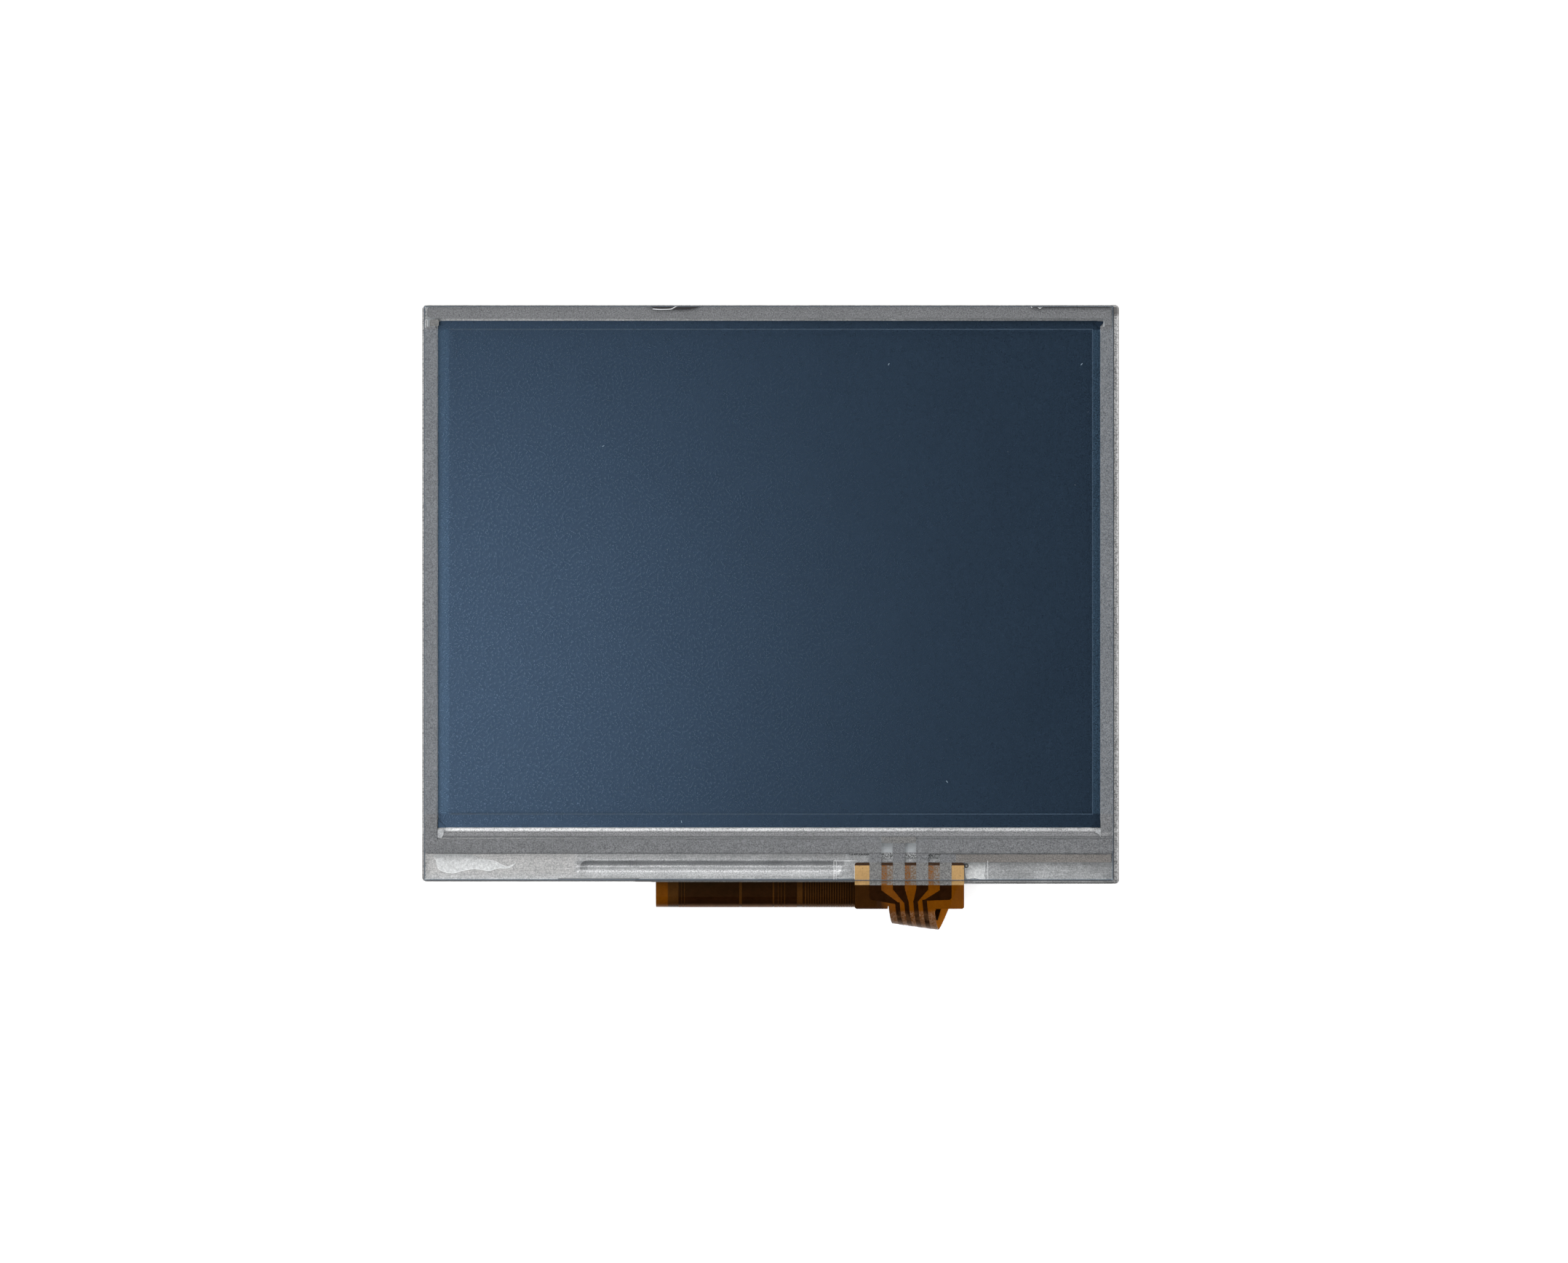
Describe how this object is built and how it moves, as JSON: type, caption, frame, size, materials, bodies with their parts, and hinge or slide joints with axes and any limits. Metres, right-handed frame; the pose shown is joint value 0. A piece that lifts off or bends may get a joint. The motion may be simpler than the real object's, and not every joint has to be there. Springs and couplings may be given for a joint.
{
  "type": "tft display module",
  "caption": "Small flat TFT display module with a resistive touch panel, a steel bezel, and two flexes folded behind its lower edge.",
  "frame": {"origin": "centre of the module's outline, on the front face of the touch film", "axes": "+Z out of the screen, +X to the right along the long sides, +Y up the screen"},
  "size_m": [0.0768, 0.0691, 0.0046],
  "materials": {
    "hard_coated_film": "matte anti-glare clear film",
    "silver_print": "matte screen-printed silver",
    "clear_adhesive": "clear",
    "glass": "polished",
    "polyimide": "satin amber",
    "copper": "dark under its cover film",
    "gold_contact": "bright",
    "bezel_steel": "satin sheet",
    "dark_polariser": "anti-glare dark blue",
    "seal_resin": "matte",
    "silicon": "polished",
    "black_tape": "matte",
    "optical_film": "satin",
    "acrylic": "polished",
    "white_moulding": "satin",
    "back_steel": "satin sheet",
    "diode_package": "matte",
    "stiffener_sheet": "satin",
    "ceramic": "matte",
    "resistor_black": "matte"
  },
  "bodies": {
    "root": {"touch_film": "hard_coated_film", "upper_electrode_print": "silver_print", "spacer_tape": "clear_adhesive", "lower_electrode_print": "silver_print", "touch_glass": "glass", "touch_flex": "polyimide", "touch_flex_copper": "copper", "touch_bond_strips": "silver_print", "touch_contacts": "gold_contact", "touch_stiffener": "stiffener_sheet", "touch_gasket": "clear_adhesive", "front_bezel": "bezel_steel", "front_polariser": "dark_polariser", "colour_filter_glass": "glass", "cell_seal": "seal_resin", "array_glass": "glass", "driver_chip": "silicon", "rear_polariser": "dark_polariser", "rim_tape": "black_tape", "upper_diffuser": "optical_film", "upper_prism_film": "optical_film", "lower_prism_film": "optical_film", "lower_diffuser": "optical_film", "light_guide": "acrylic", "reflector": "optical_film", "led_flex": "polyimide", "leds": "diode_package", "mid_frame": "white_moulding", "back_plate": "back_steel", "main_flex": "polyimide", "main_flex_copper": "copper", "main_contacts": "gold_contact", "main_stiffener": "stiffener_sheet", "flex_capacitors": "ceramic", "flex_resistors": "resistor_black", "flex_tape_pads": "clear_adhesive"}
  },
  "joints": []
}
